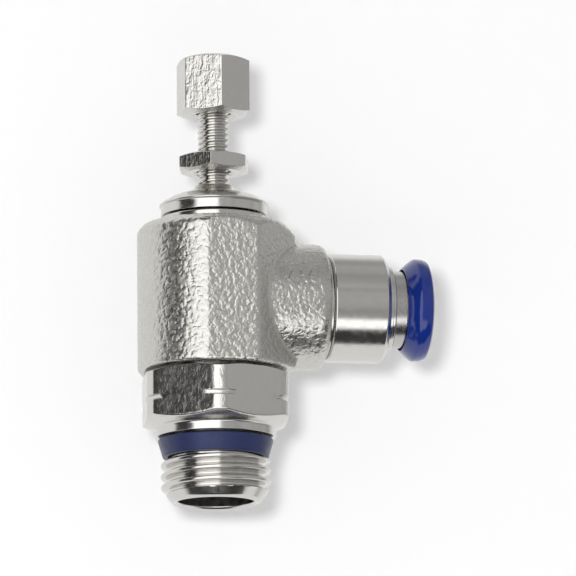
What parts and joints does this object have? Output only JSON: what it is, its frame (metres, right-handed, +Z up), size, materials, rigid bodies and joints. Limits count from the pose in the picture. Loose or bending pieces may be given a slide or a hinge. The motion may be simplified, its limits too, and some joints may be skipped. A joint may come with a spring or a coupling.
{
  "type": "flow control valve",
  "caption": "Banjo flow control valve: male threaded stud with captive seal, swivelling cast body, side push-in tube port, needle screw with lock nut and hexagonal knob.",
  "frame": {"origin": "on the stem's axis, at the flange's underside, where the stud enters the machine's port", "axes": "+Z up the stem to the adjusting knob, +X out of the tube port, -Y towards the front of the body"},
  "size_m": [0.0352, 0.019, 0.0544],
  "materials": {
    "turned_nickel": "bright nickel plate over turned brass",
    "cast_nickel": "satin nickel plate over a tumbled brass casting",
    "turned_brass": "plain turned brass",
    "spring_steel": "bright spring steel",
    "black_rubber": "satin nitrile rubber",
    "blue_seal": "satin moulded thermoplastic seal",
    "blue_acetal": "gloss moulded acetal",
    "white_acetal": "plain moulded acetal"
  },
  "bodies": {
    "bolt": {"banjo_bolt": "turned_nickel", "thread_seal_ring": "blue_seal", "check_lip_seal": "black_rubber", "seat_bush": "turned_brass", "gland_cap": "turned_nickel", "thrust_washer": "turned_nickel", "lower_stem_o_ring": "black_rubber", "cap_o_ring": "black_rubber"},
    "swivel": {"swivel_body": "cast_nickel", "upper_stem_o_ring": "black_rubber", "port_sleeve": "turned_nickel", "retaining_ring": "turned_nickel", "tube_o_ring": "black_rubber", "sleeve_o_ring": "black_rubber", "spacer_ring": "white_acetal"},
    "release": {"collet": "spring_steel", "release_collar": "blue_acetal"},
    "needle_carriage": {"needle_o_ring": "black_rubber"},
    "needle": {"needle_screw": "turned_nickel", "adjusting_knob": "turned_nickel"},
    "nut": {"lock_nut": "turned_nickel"}
  },
  "joints": [
    {"name": "body_swivel", "type": "hinge", "parent": "bolt", "child": "swivel", "pos_m": [0, 0, 0.0162], "axis": [0, 0, -1], "continuous": true},
    {"name": "collar_release", "type": "slide", "parent": "swivel", "child": "release", "axis": [-1, 0, 0], "range_m": [0, 0.0011]},
    {"name": "needle_lift", "type": "slide", "parent": "bolt", "child": "needle_carriage", "axis": [0, 0, 1], "range_m": [-0.0042, 0.0014]},
    {"name": "knob_turn", "type": "hinge", "parent": "needle_carriage", "child": "needle", "pos_m": [0, 0, 0.043], "axis": [0, 0, 1], "range_deg": [-2161, 721]},
    {"name": "lock_nut_run", "type": "slide", "parent": "bolt", "child": "nut", "axis": [0, 0, 1], "range_m": [-0.0014, 0]}
  ],
  "couplings": [
    {"joint": "knob_turn", "follows": "needle_lift", "rad_per_m": 8976}
  ]
}
